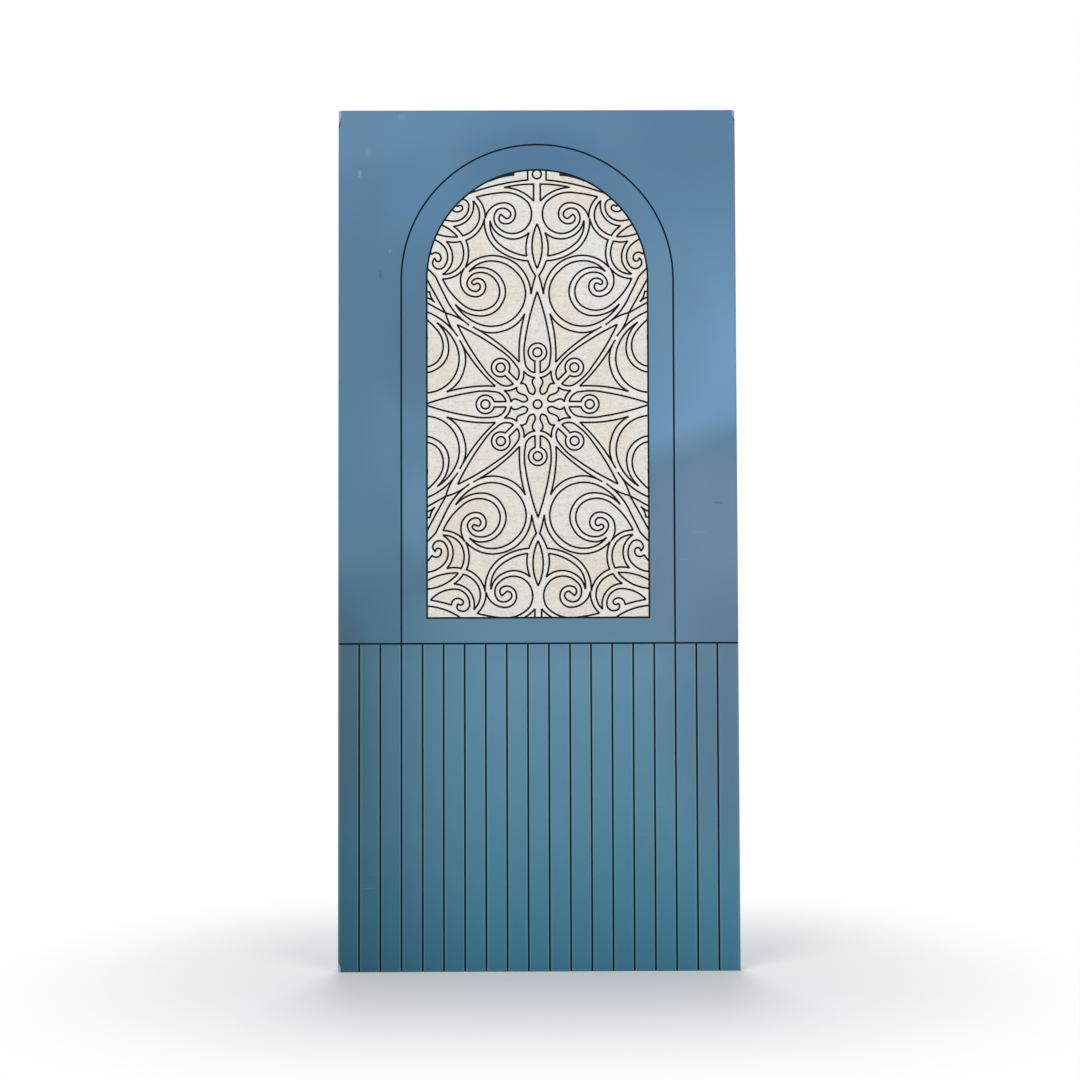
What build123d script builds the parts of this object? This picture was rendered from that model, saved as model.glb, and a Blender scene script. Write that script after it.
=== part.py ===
# Interior door leaf, faced in blue laminate.
# A framed core carries a dark backer and a skin on each side. The skin is cut into pieces
# with narrow joints between them, and the dark backer shows through each joint.
# The front has a field round a tall round-headed arch, nineteen planks below it and a pale
# inlay in the arch: a pierced sheet of bands, with a tile set in each of its openings.
# The back repeats the divisions plainly.
# Frame: x runs from the hinge edge, z from the bottom edge, y=0 is the middle of the leaf's
# thickness and the front faces -Y. Millimetres.

import os
from cmath import exp, phase
from math import acos, pi, radians, sqrt

from build123d import *

# The leaf
leaf_width = 950.0
leaf_height = 2050.0
leaf_thickness = 35.0
skin_thickness = 3.0
backer_thickness = 1.0
lipping_width = 12.0
joint_width = 4.0

# The divisions of the face
plank_count = 19
planks_beside_arch = 3
arch_head_margin = 83.0
border_width = 61.0

# The corner chips: how far each runs along the leaf's level edge and its upright edge
top_hinge_chip = (6.5, 36.0)
top_lock_chip = (7.0, 23.0)
bottom_hinge_chip = (6.0, 24.0)
chip_belly = 0.7

# The ornament is drawn on squares, counted from the rosette's centre to the inlay's side and foot
side_square_count = 264
foot_square_count = 508.5

# The discs, rings and stems, measured to the middle of the joint round them
centre_disc_radius = 10.3
ring_disc_radius = 10.7
ring_radius = 22.0
ring_distance = 124.4
stem_half_width = 6.4
head_disc_distance = 552.8

# How round lines are cut into straight runs, and the least piece that is worth setting
curve_tolerance = 1.0
usual_turn = radians(42)
corner_reach = 45.0
longest_point = 3.0
smallest_piece = 60.0

plank_width = leaf_width / plank_count
arch_width = leaf_width - 2 * planks_beside_arch * plank_width
arch_radius = arch_width / 2
arch_spring_height = leaf_height - arch_head_margin - arch_radius
inlay_radius = arch_radius - border_width
half_joint = joint_width / 2
middle = leaf_width / 2

# The disc at the head touches the inlay's edge, and the foot cuts the lower scrolls
square = inlay_radius / side_square_count
rosette_height = arch_spring_height + inlay_radius - head_disc_distance - ring_disc_radius
rosette_centre = complex(middle, rosette_height)
inlay_foot_height = rosette_height - foot_square_count * square
plank_line_height = inlay_foot_height - border_width

skin_face = leaf_thickness / 2
skin_back = skin_face - skin_thickness
core_face = skin_back - backer_thickness


def rectangle(x0, z0, x1, z1):
    """A flat rectangle between two corners."""
    return Pos((x0 + x1) / 2, (z0 + z1) / 2) * Rectangle(x1 - x0, z1 - z0)


def round_headed(half_width, foot, spring):
    """A flat shape with a level foot, upright sides and a half-round head, centred on the leaf."""
    left, right = middle - half_width, middle + half_width
    edges = [
        Line((left, spring), (left, foot)),
        Line((left, foot), (right, foot)),
        Line((right, foot), (right, spring)),
        ThreePointArc((right, spring), (middle, spring + half_width), (left, spring)),
    ]
    return make_face(edges)


def slab(flat, near=skin_back, far=skin_face):
    """A flat shape made solid, from one distance to another in front of the middle of the leaf."""
    return Plane.XZ * Pos(0, 0, near) * extrude(flat, far - near, dir=(0, 0, 1))


def save(name, *solids):
    """Write one sub-part, of one solid or of several that don't touch."""
    part = solids[0] if len(solids) == 1 else Compound(children=list(solids))
    export_step(part, f"parts/{name}.step")


def on_back(solid):
    """The same piece on the other side of the leaf."""
    return mirror(solid, about=Plane.XZ)


def framing():
    """The core and the lippings round it, which make the leaf's four edges."""
    w = lipping_width
    inside_right, inside_top = leaf_width - w, leaf_height - w
    flats = {
        "core_panel": rectangle(w, w, inside_right, inside_top),
        "hinge_edge_lipping": rectangle(0, 0, w, leaf_height),
        "lock_edge_lipping": rectangle(inside_right, 0, leaf_width, leaf_height),
        "top_edge_lipping": rectangle(w, inside_top, inside_right, leaf_height),
        "bottom_edge_lipping": rectangle(w, 0, inside_right, w),
    }
    for name, flat in flats.items():
        save(name, slab(flat, -core_face, core_face))


def chip(corner_x, corner_z, size):
    """The flat bite that a knock took from a corner of the skin."""
    run_x = size[0] if corner_x == 0 else -size[0]
    run_z = size[1] if corner_z == 0 else -size[1]
    belly = (corner_x + chip_belly * run_x, corner_z + chip_belly * run_z)
    on_level, on_upright = (corner_x + run_x, corner_z), (corner_x, corner_z + run_z)
    edges = [
        Line((corner_x, corner_z), on_level),
        ThreePointArc(on_level, belly, on_upright),
        Line(on_upright, (corner_x, corner_z)),
    ]
    return make_face(edges)


def upper_field():
    """The flat of the skin round the arch, down to the line of the planks."""
    foot = plank_line_height + half_joint
    whole = rectangle(0, foot, leaf_width, leaf_height)
    return whole - round_headed(arch_radius + half_joint, foot, arch_spring_height)


def arch_border():
    """The flat of the band between the arch's outline and the inlay."""
    foot = plank_line_height + half_joint
    outside = round_headed(arch_radius - half_joint, foot, arch_spring_height)
    inside = round_headed(inlay_radius + half_joint, inlay_foot_height - half_joint, arch_spring_height)
    return outside - inside


def inlay_outline():
    """The flat of the whole inlay, half a joint inside the border's line."""
    return round_headed(inlay_radius - half_joint, inlay_foot_height + half_joint, arch_spring_height)


def plank(number):
    """The flat of one upright plank, counted from the hinge edge."""
    left = (number - 1) * plank_width + (half_joint if number > 1 else 0)
    right = number * plank_width - (half_joint if number < plank_count else 0)
    return rectangle(left, 0, right, plank_line_height - half_joint)


def arc(start, through, end):
    """The points that cut an arc through three points into straight runs, without its start."""
    ratio = (end - start) / (through - start)
    if abs(ratio.imag) < 1e-6:
        return [end]
    centre = start - (start - through) * (ratio - abs(ratio) ** 2) / (2j * ratio.imag)
    spoke = start - centre
    turn = phase((through - centre) / spoke) + phase((end - centre) / (through - centre))
    run_turn = min(usual_turn, 2 * acos(1 - curve_tolerance / abs(spoke)))
    runs = max(1, round(abs(turn) / run_turn))
    return [centre + spoke * exp(1j * turn * run / runs) for run in range(1, runs + 1)]


def stretch(*squares):
    """A line through two points, or arcs through each three points in turn, as straight runs."""
    points = [complex(x, z) * square for x, z in squares]
    line = points[:1]
    if len(points) == 2:
        return points
    for index in range(0, len(points) - 2, 2):
        line += arc(*points[index : index + 3])
    return line


def mirrored(line):
    """The same line on the other side of the upright axis, drawn the other way."""
    return [-point.conjugate() for point in reversed(line)]


def turned(loop, eighths):
    """A loop of stretches turned clockwise about the rosette's centre."""
    return [[point * exp(-1j * pi / 4 * eighths) for point in line] for line in loop]


def opposite(loop):
    """The loop on the other side of the upright axis."""
    return [mirrored(line) for line in reversed(loop)]


def all_round(loop):
    """The eight copies of a loop that is mirrored about the axes and the diagonals."""
    return [turned(one, 2 * quarter) for quarter in range(4) for one in (loop, opposite(loop))]


def beside(line, distance):
    """The line moved to its left by a distance."""
    headings = [(after - before) / abs(after - before) for before, after in zip(line, line[1:])]
    moved = [line[0] + 1j * headings[0] * distance]
    for point, into, out in zip(line[1:], headings, headings[1:]):
        moved.append(point + 1j * (into + out) / (1 + (into.conjugate() * out).real) * distance)
    return moved + [line[-1] + 1j * headings[-1] * distance]


def meeting(a, b, c, d):
    """Where two straight runs meet, and how far along each that is, from 0 to 1."""
    first, second = b - a, d - c
    cross = (first.conjugate() * second).imag
    if abs(cross) < 1e-9:
        return None, -1, -1
    along = ((c - a).conjugate() * second).imag / cross
    across = ((c - a).conjugate() * first).imag / cross
    return a + first * along, along, across


def corner(before, after, point):
    """Where one moved line ends and the next starts: at their crossing, or at a corner point."""
    crossings = []
    for last in range(1, len(before)):
        for first in range(1, len(after)):
            hit, along, across = meeting(before[last - 1], before[last], after[first - 1], after[first])
            if 0 <= along <= 1 and 0 <= across <= 1 and abs(hit - point) < corner_reach:
                crossings.append((abs(hit - point), last, first, hit))
    if crossings:
        _, last, first, hit = min(crossings, key=lambda crossing: crossing[0])
        return before[:last] + [hit], [hit] + after[first:]
    hit, along, across = meeting(before[-2], before[-1], after[0], after[1])
    if along > 1 and across < 0 and abs(hit - point) < longest_point:
        return before + [hit], [hit] + after
    return before, after


def moved_loop(loop, distance):
    """The flat shape inside a loop whose lines are moved outwards, or inwards if negative."""
    points = [point for line in loop for point in line]
    area = sum((a.conjugate() * b).imag for a, b in zip(points, points[1:] + points[:1]))
    side = -distance if area > 0 else distance
    if len(loop) == 1:
        line = loop[0]
        lines = [beside(line[-2:-1] + line + line[1:2], side)[1:-1]]
    else:
        lines = [beside(line, side) for line in loop]
        for index in range(len(loop)):
            lines[index - 1], lines[index] = corner(lines[index - 1], lines[index], loop[index][0])
    placed = [point + rosette_centre for line in lines for point in line]
    kept = [point for point, last in zip(placed, placed[-1:] + placed) if abs(point - last) > 0.01]
    return make_face(Polyline(*[(point.real, point.imag) for point in kept], close=True))


def disc_loop(radius, distance=0.0):
    """A round line above the rosette's centre, which closes on itself."""
    side, height = radius / square, distance / square
    top, foot = (0, height + side), (0, height - side)
    return [stretch((side, height), top, (-side, height), foot, (side, height))]


def spearhead():
    """A long pointed tile with a keyhole for the ring and its stem."""
    foot = (stem_half_width / square, 75.5)
    neck = (foot[0], (ring_distance - sqrt(ring_radius**2 - stem_half_width**2)) / square)
    ring_top = (0, (ring_distance + ring_radius) / square)
    ring_side = (ring_radius / square, ring_distance / square)
    side = stretch(foot, (22, 84), (30, 103), (32, 127), (29, 155), (20, 202), (0, 270))
    ring = stretch(ring_top, ring_side, neck)
    stem = stretch(neck, foot)
    return [side, mirrored(side), mirrored(stem), mirrored(ring), ring, stem]


def hub_tile():
    """A tile between two spearheads at the heart of the rosette."""
    head = stretch((0, 86), (-9, 69), (-19, 61))
    side = stretch((-19, 61), (-10.5, 57), (-8, 49), (-8, 44), (-8.5, 39), (-6.5, 31), (0, 26))
    loop = [head, side, mirrored(side), mirrored(head)]
    return turned(loop, 0.5)


def star_tile():
    """The three-cornered tile between an upright and a diagonal spearhead."""
    return [
        stretch((43.5, 101), (43, 147), (30, 217)),
        stretch((30, 217), (51, 191), (84, 175), (118, 172), (154, 186)),
        stretch((154, 186), (98, 150), (43.5, 101)),
    ]


def scroll_crescent():
    """The crescent that the large scroll turns in."""
    outside = [(163, 318), (138, 338), (109, 344), (79, 338), (53, 320), (34, 294), (28, 264)]
    outside += [(39, 227), (70, 197), (107, 187), (143, 194), (173, 213), (196, 240)]
    inside = [(196, 240), (170, 220), (138, 212), (106, 219), (84, 242), (76, 268)]
    inside += [(84, 298), (103, 319), (130, 328), (147, 327), (163, 318)]
    return [stretch(*outside), stretch(*inside)]


def scroll_comma():
    """The comma of the large scroll, which ends in a hook."""
    scroll = [(226, 301), (204, 265), (175, 237), (141, 225), (106, 236), (90, 267), (99, 297)]
    scroll += [(118, 313), (141, 316), (161, 306), (168, 289), (161, 276), (148, 271), (138, 276)]
    scroll += [(137, 286), (141, 290), (148, 288), (155, 289), (154, 297), (140, 302), (125, 291)]
    scroll += [(127, 269), (148, 258), (170, 266), (182, 285), (183, 304), (174, 327)]
    return [stretch(*scroll), stretch((174, 327), (196, 308), (226, 301))]


def field_tile():
    """The tile between the large scroll and the small one."""
    return [
        stretch((15, 264), (24, 303), (51, 338), (81, 353), (112, 357), (144, 349), (172, 328)),
        stretch((172, 328), (164, 362), (170, 394)),
        stretch((170, 394), (144, 411), (126, 446)),
        stretch((126, 446), (119, 404), (96, 372), (63, 353), (22, 344)),
        stretch((22, 344), (14, 325), (4, 308)),
        stretch((4, 308), (11, 284), (15, 264)),
    ]


def strip_tile():
    """The strip that crosses its neighbour beyond a diagonal spearhead."""
    return [
        stretch((163, 190), (196, 220), (221, 261), (233, 285), (243, 306)),
        stretch((243, 306), (253, 317), (270, 333)),
        stretch((270, 333), (270, 312)),
        stretch((270, 312), (243, 262), (219, 219)),
        stretch((219, 219), (193, 210), (163, 190)),
    ]


def diagonal_tile():
    """The small tile whose point lies on the diagonal, at the inlay's edge."""
    side = stretch((245, 245), (252, 254), (257, 270))
    other = [complex(point.imag, point.real) for point in reversed(side)]
    return [side, stretch((257, 270), (270, 270)), stretch((270, 270), (270, 257)), other]


def palmette_crescent():
    """The crescent under the small scroll, beside the leaf."""
    return [
        stretch((19, 412), (26, 385), (25, 356)),
        stretch((25, 356), (63, 367), (94, 388), (109, 412), (112, 441)),
        stretch((112, 441), (102, 418), (83, 403), (51, 397), (19, 412)),
    ]


def palmette_scroll():
    """The comma of the small scroll, which ends in a hook."""
    scroll = [(145, 498), (114, 505), (81, 509), (45, 502), (21, 484), (13, 456), (26, 424)]
    scroll += [(62, 410), (91, 423), (103, 448), (95, 467), (80, 471), (66, 464), (65, 450)]
    scroll += [(74, 446), (80, 451), (86, 456), (91, 448), (83, 435), (66, 435), (52, 453)]
    scroll += [(58, 475), (80, 484), (106, 475), (124, 447)]
    return [stretch(*scroll), stretch((124, 447), (127, 470), (145, 498))]


def palmette_wedge():
    """The three-cornered tile over the small scroll."""
    return [
        stretch((8, 529), (45, 527), (79, 521)),
        stretch((79, 521), (40, 512), (8, 488)),
        stretch((8, 488), (8, 529)),
    ]


def leaf_tile():
    """The pointed leaf on the upright axis."""
    side = stretch((0, 326), (12, 374), (0, 433))
    return [side, mirrored(side)]


def corner_crescent():
    """The crescent that backs the corner scroll."""
    return [
        stretch((153, 489), (139, 466), (139, 442), (152, 420), (178, 405)),
        stretch((178, 405), (188, 418), (200, 428)),
        stretch((200, 428), (163, 446), (153, 489)),
    ]


def corner_scroll():
    """The comma of the corner scroll."""
    scroll = [(256, 466), (230, 447), (200, 440), (173, 451), (163, 475), (170, 490), (184, 492)]
    scroll += [(193, 484), (190, 475)]
    return [
        stretch(*scroll),
        stretch((190, 475), (181, 477), (181, 466), (196, 463), (206, 478)),
        stretch((206, 478), (231, 471), (256, 466)),
    ]


def corner_leaf():
    """The leaf that runs out of the corner at the inlay's side."""
    return [
        stretch((190, 402), (220, 427), (270, 440)),
        stretch((270, 440), (270, 424)),
        stretch((270, 424), (230, 406), (190, 402)),
    ]


def side_crescent():
    """The crescent that backs the scroll at the inlay's side."""
    return [
        stretch((183, 391), (200, 389), (217, 391)),
        stretch((217, 391), (203, 363), (204, 339), (211, 326), (226, 312)),
        stretch((226, 312), (196, 321), (178, 347), (176, 368), (183, 391)),
    ]


def side_scroll():
    """The comma of the scroll at the inlay's side, cut off by the edge."""
    scroll = [(270, 400), (240, 393), (221, 377), (214, 353), (222, 331), (236, 325), (247, 331)]
    scroll += [(250, 342), (244, 351)]
    return [
        stretch(*scroll),
        stretch((244, 351), (236, 343), (230, 350), (237, 363), (252, 360)),
        stretch((252, 360), (259, 369), (270, 379)),
        stretch((270, 379), (270, 400)),
    ]


def corner_field():
    """The tile in the inlay's square corner, beyond the corner scroll."""
    return [
        stretch((188, 506), (222, 489), (272, 480)),
        stretch((272, 480), (272, 520)),
        stretch((272, 520), (172, 520)),
        stretch((172, 520), (188, 506)),
    ]


def head_tile():
    """The slim tile under the head of the arch."""
    return [
        stretch((22, 539), (95, 527), (162, 507)),
        stretch((162, 507), (170, 525)),
        stretch((170, 525), (112, 537)),
        stretch((112, 537), (83, 547), (56, 551)),
        stretch((56, 551), (56, 575)),
        stretch((56, 575), (22, 575)),
        stretch((22, 575), (22, 539)),
    ]


def ornament():
    """The loops that the joints of the inlay follow, gathered under the names of their nodes."""
    eighths, quarters = range(8), range(0, 8, 2)
    scrolls = [scroll_crescent(), scroll_comma(), field_tile(), strip_tile()]
    palmette = [palmette_crescent(), palmette_scroll(), palmette_wedge()]
    corners = [corner_crescent(), corner_scroll(), corner_leaf(), side_crescent(), side_scroll()]
    loops = {
        "rosette_centre_disc": [disc_loop(centre_disc_radius)],
        "rosette_hub_tiles": [turned(hub_tile(), eighth) for eighth in eighths],
        "rosette_ring_discs": [turned(disc_loop(ring_disc_radius, ring_distance), eighth) for eighth in eighths],
        "rosette_spearheads": [turned(spearhead(), eighth) for eighth in eighths],
        "rosette_star_tiles": all_round(star_tile()),
        "large_scroll_tiles": [turned(diagonal_tile(), quarter) for quarter in quarters],
        "axis_leaf_tiles": [leaf_tile(), turned(leaf_tile(), 4)],
        "palmette_tiles": [disc_loop(ring_disc_radius, head_disc_distance), head_tile(), opposite(head_tile())],
        "corner_scroll_tiles": all_round(corner_field()),
    }
    eight_times = {"large_scroll_tiles": scrolls, "palmette_tiles": palmette, "corner_scroll_tiles": corners}
    for name, shapes in eight_times.items():
        loops[name] += [one for shape in shapes for one in all_round(shape)]
    return loops


def pieces(flat):
    """The separate flats of a shape that are large enough to set."""
    return [face for face in flat.faces() if face.area > smallest_piece] if flat else []


def openings_and_tiles(loop, outline):
    """The openings to cut for one loop and their tiles, with no opening for a sliver at the edge."""
    whole, tile = moved_loop(loop, half_joint), moved_loop(loop, -half_joint) & outline
    parts = (whole & outline).faces() if tile else []
    filled = [(part, pieces(tile & part)) for part in parts]
    openings = [whole] if len(parts) == 1 else [part for part, tiles in filled if tiles]
    return openings, [one for _, tiles in filled for one in tiles]


def inlay():
    """The tiles and the pierced sheet round them, all cut off at the edge of the inlay."""
    outline = inlay_outline()
    openings = []
    for name, loops in ornament().items():
        tiles = []
        for loop in loops:
            if min(abs(point.real) for line in loop for point in line) < inlay_radius:
                cut, set_in = openings_and_tiles(loop, outline)
                openings += cut
                tiles += set_in
        save(name, *[slab(tile) for tile in tiles])
    save("inlay_sheet", *[slab(flat) for flat in pieces(outline - openings)])


def main():
    os.makedirs("parts", exist_ok=True)
    framing()
    backer = slab(rectangle(0, 0, leaf_width, leaf_height), core_face, skin_back)
    top_chips = [chip(0, leaf_height, top_hinge_chip), chip(leaf_width, leaf_height, top_lock_chip)]
    save("front_backer", backer)
    save("upper_field", slab(upper_field() - top_chips))
    save("arch_border", slab(arch_border()))
    inlay()
    save("plank_01", slab(plank(1) - chip(0, 0, bottom_hinge_chip)))
    for number in range(2, plank_count + 1):
        save(f"plank_{number:02d}", slab(plank(number)))
    save("back_backer", on_back(backer))
    save("back_upper_field", on_back(slab(upper_field())))
    save("back_arch_border", on_back(slab(arch_border())))
    save("back_arch_panel", on_back(slab(inlay_outline())))
    save("back_planks", *[on_back(slab(plank(number))) for number in range(1, plank_count + 1)])


main()
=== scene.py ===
"""An interior door leaf faced in blue laminate, with a pale pierced inlay in a round-headed arch.

The skins, lippings and boards keep their own solids and get their finish here, and the skins get
eased edges. The inlay's sheet and tiles are cut again from the same drawing, with smooth round
lines, charred edges and eased rims. Sizes are in metres unless they say otherwise, in the frame of
the leaf: x runs from the hinge edge, z from the bottom edge, and the front faces -Y.
"""

import logging
from cmath import exp, phase
from dataclasses import dataclass, field
from enum import Enum
from math import acos, pi, radians, sqrt
from typing import Any, Callable, Mapping, Sequence

import bpy
from mathutils import Matrix, Vector
from mathutils.geometry import delaunay_2d_cdt


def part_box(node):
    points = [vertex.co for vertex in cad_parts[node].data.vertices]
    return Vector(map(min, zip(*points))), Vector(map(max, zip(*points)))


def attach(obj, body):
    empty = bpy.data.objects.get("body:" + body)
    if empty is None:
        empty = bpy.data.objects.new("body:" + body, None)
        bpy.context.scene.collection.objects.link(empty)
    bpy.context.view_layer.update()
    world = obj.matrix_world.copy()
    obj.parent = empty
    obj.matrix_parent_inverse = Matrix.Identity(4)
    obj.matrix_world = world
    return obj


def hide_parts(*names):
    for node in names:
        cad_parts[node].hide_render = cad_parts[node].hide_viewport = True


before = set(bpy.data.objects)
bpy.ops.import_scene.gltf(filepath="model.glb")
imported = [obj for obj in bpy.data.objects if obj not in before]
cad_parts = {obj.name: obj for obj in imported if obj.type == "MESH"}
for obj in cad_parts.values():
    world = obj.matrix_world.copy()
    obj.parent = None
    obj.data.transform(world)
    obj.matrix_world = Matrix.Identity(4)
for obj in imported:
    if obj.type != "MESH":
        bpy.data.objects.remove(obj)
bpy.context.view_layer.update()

log = logging.getLogger("door leaf")

Line = list[complex]
Ring = list[complex]
Loop = list[Line]
Place = tuple[float, float]
Span = tuple[float, float]
Point = tuple[float, float, float]
Colour = tuple[float, float, float, float]
Settings = Mapping[str, Any] | None
Sockets = Mapping[str | int, Any] | None

MILLIMETRE = 0.001
WHITE = (1.0, 1.0, 1.0, 1.0)
BODY = "root"


def srgb(red: float, green: float, blue: float) -> Colour:
    """Turn a colour of three numbers up to 255 into the linear colour that a shader takes.

    Args:
        red: The red share.
        green: The green share.
        blue: The blue share.

    Returns:
        The linear colour, with an alpha of one.
    """
    shares = [part / 255 for part in (red, green, blue)]
    linear = [part / 12.92 if part <= 0.04045 else ((part + 0.055) / 1.055) ** 2.4 for part in shares]
    return (linear[0], linear[1], linear[2], 1.0)


class Wire:
    """A shader socket that takes Python's operators, each of which adds a Math node."""

    def __init__(self, graph: "Graph", socket: bpy.types.NodeSocket) -> None:
        """Hold a socket of a graph."""
        self.graph = graph
        self.socket = socket

    def __add__(self, other: "Wire | float") -> "Wire":
        """Add another value."""
        return self.graph.math("ADD", self, other)

    def __sub__(self, other: "Wire | float") -> "Wire":
        """Take another value away."""
        return self.graph.math("SUBTRACT", self, other)

    def __rsub__(self, other: float) -> "Wire":
        """Take this value away from a number."""
        return self.graph.math("SUBTRACT", other, self)

    def __mul__(self, other: "Wire | float") -> "Wire":
        """Multiply by another value."""
        return self.graph.math("MULTIPLY", self, other)

    def __truediv__(self, other: "Wire | float") -> "Wire":
        """Divide by another value."""
        return self.graph.math("DIVIDE", self, other)

    def __abs__(self) -> "Wire":
        """The value without its sign."""
        return self.graph.math("ABSOLUTE", self)

    def __pow__(self, power: float) -> "Wire":
        """Raise the value to a power."""
        return self.graph.math("POWER", self, power)

    __radd__ = __add__
    __rmul__ = __mul__

    def least(self, other: "Wire | float") -> "Wire":
        """The smaller of two values."""
        return self.graph.math("MINIMUM", self, other)

    def most(self, other: "Wire | float") -> "Wire":
        """The larger of two values."""
        return self.graph.math("MAXIMUM", self, other)

    def rise(self, low: float, high: float) -> "Wire":
        """Turn the value into a soft step.

        Args:
            low: The value at which the step is 0.
            high: The value at which it is 1; it may be the smaller one, for a falling step.

        Returns:
            The step, from 0 to 1.
        """
        sockets = {"Value": self, "From Min": low, "From Max": high, "To Min": 0.0, "To Max": 1.0}
        settings = {"interpolation_type": "SMOOTHSTEP", "clamp": True}
        return self.graph.out("ShaderNodeMapRange", settings, sockets)


class Graph:
    """A node tree that finishes are written into."""

    def __init__(self, tree: bpy.types.NodeTree) -> None:
        """Take over a tree and empty it."""
        self.tree = tree
        tree.nodes.clear()

    def node(self, kind: str, settings: Settings = None, sockets: Sockets = None) -> bpy.types.Node:
        """Add a node.

        Args:
            kind: The node's type.
            settings: Its settings, such as an operation, set before its sockets. The setting
                "stops" gives a ramp's stops, each a position and a colour.
            sockets: The values or wires of its inputs, by name or number.

        Returns:
            The node.
        """
        made = self.tree.nodes.new(kind)
        for name, value in (settings or {}).items():
            if name == "stops":
                ramp = made.color_ramp
                while len(ramp.elements) < len(value):
                    ramp.elements.new(1.0)
                for element, (position, colour) in zip(ramp.elements, value):
                    element.position, element.color = position, colour
            else:
                setattr(made, name, value)
        for name, value in (sockets or {}).items():
            if isinstance(value, Wire):
                self.tree.links.new(value.socket, made.inputs[name])
            else:
                made.inputs[name].default_value = value
        return made

    def out(
        self, kind: str, settings: Settings = None, sockets: Sockets = None, output: str | int = 0
    ) -> Wire:
        """Add a node, as node does, and take the output of a name or number."""
        return Wire(self, self.node(kind, settings, sockets).outputs[output])

    def math(self, operation: str, *values: Wire | float) -> Wire:
        """Add a Math node on one or two values."""
        return self.out("ShaderNodeMath", {"operation": operation}, dict(enumerate(values)))

    def blend(self, first: Wire | Colour, second: Wire | Colour, share: Wire | float) -> Wire:
        """Mix two colours: the first shows where the share is 0, and the second where it is 1."""
        return self.out("ShaderNodeMix", {"data_type": "RGBA"}, {0: share, 6: first, 7: second}, 2)

    def place(self) -> Wire:
        """The place on the leaf, as a vector in metres."""
        return self.out("ShaderNodeTexCoord", output="Object")

    def split(self, vector: Wire) -> tuple[Wire, Wire, Wire]:
        """The three parts of a vector."""
        across, deep, up = self.node("ShaderNodeSeparateXYZ", sockets={0: vector}).outputs
        return Wire(self, across), Wire(self, deep), Wire(self, up)

    def seen_directly(self) -> Wire:
        """A mask of the rays that show a thing itself: from the camera, or by gloss or glass."""
        path = self.node("ShaderNodeLightPath")
        camera, gloss, glass = (
            Wire(self, path.outputs[f"Is {ray} Ray"]) for ray in ("Camera", "Glossy", "Transmission")
        )
        return camera.most(gloss).most(glass)

    def noise(self, scales: Point, detail: float = 2.0, shift: float = 0.0, warp: float = 0.0) -> Wire:
        """Cloudy noise over the leaf.

        Args:
            scales: How many clouds fit in a metre along x, y and z.
            detail: How many finer layers are laid over the clouds.
            shift: A distance that tells this noise from others of the same scales.
            warp: How far the clouds are drawn out of shape.

        Returns:
            The noise, about 0.5 in the mean.
        """
        spread = {"Vector": self.place(), "Location": (shift, shift, shift), "Scale": scales}
        clouds = {"Vector": self.out("ShaderNodeMapping", sockets=spread), "Scale": 1.0}
        clouds |= {"Detail": detail, "Roughness": 0.5, "Distortion": warp}
        return self.out("ShaderNodeTexNoise", sockets=clouds)

    def surface(
        self, colour: Wire, roughness: Wire | float, relief: Wire, depth: float, specular: float
    ) -> None:
        """End the tree in a plain shader.

        Args:
            colour: The base colour.
            roughness: The roughness.
            relief: The height that bumps the surface.
            depth: How deep a relief of 1 is, in metres.
            specular: How strongly the surface shines.
        """
        bumps = {"Height": relief, "Distance": depth, "Strength": 1.0}
        sockets = {"Base Color": colour, "Roughness": roughness, "Specular IOR Level": specular}
        sockets["Normal"] = self.out("ShaderNodeBump", sockets=bumps)
        shader = self.out("ShaderNodeBsdfPrincipled", sockets=sockets)
        self.node("ShaderNodeOutputMaterial", sockets={"Surface": shader})


@dataclass(frozen=True)
class Finish:
    """What every finish is: a name, and the nodes that it writes."""

    name: str

    def write(self, graph: Graph) -> None:
        """Write the finish's nodes into an empty graph."""

    def material(self) -> bpy.types.Material:
        """Make the material.

        Returns:
            The material, with the nodes in it.
        """
        material = bpy.data.materials.new(self.name)
        material.use_nodes = True
        self.write(Graph(material.node_tree))
        return material


@dataclass(frozen=True)
class Leaf:
    """The leaf's sizes, as the frame gives them."""

    width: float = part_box("front_backer")[1].x
    height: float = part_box("front_backer")[1].z
    front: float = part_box("upper_field")[0].y
    skin_back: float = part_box("upper_field")[1].y
    joint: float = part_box("plank_03")[0].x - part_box("plank_02")[1].x
    plank_pitch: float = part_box("plank_03")[0].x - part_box("plank_02")[0].x
    plank_top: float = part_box("plank_03")[1].z
    panel_low: Vector = field(default_factory=lambda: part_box("back_arch_panel")[0])
    panel_high: Vector = field(default_factory=lambda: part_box("back_arch_panel")[1])
    rosette_low: Vector = field(default_factory=lambda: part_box("rosette_centre_disc")[0])
    rosette_high: Vector = field(default_factory=lambda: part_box("rosette_centre_disc")[1])

    @property
    def panel_half_width(self) -> float:
        """Half the width of the whole inlay."""
        return (self.panel_high.x - self.panel_low.x) / 2

    @property
    def inlay_radius(self) -> float:
        """From the inlay's middle to the middle of the joint beside it."""
        return self.panel_half_width + self.joint / 2

    @property
    def spring_height(self) -> float:
        """Where the inlay's sides turn into its half-round head."""
        return self.panel_high.z - self.panel_half_width

    @property
    def rosette_centre(self) -> complex:
        """The middle of the rosette on the face, as x and z."""
        middle = (self.rosette_low + self.rosette_high) / 2
        return complex(middle.x, middle.z)


LEAF = Leaf()


@dataclass(frozen=True)
class Spot:
    """A place on the face, and how far it reaches from its middle."""

    x: float
    z: float
    reach_x: float
    reach_z: float

    def away(self, x: Wire, z: Wire) -> Wire:
        """How far off a place is: 0 in the middle, 1 on the rim, and rising as the square."""
        return ((x - self.x) / self.reach_x) ** 2.0 + ((z - self.z) / self.reach_z) ** 2.0


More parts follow.
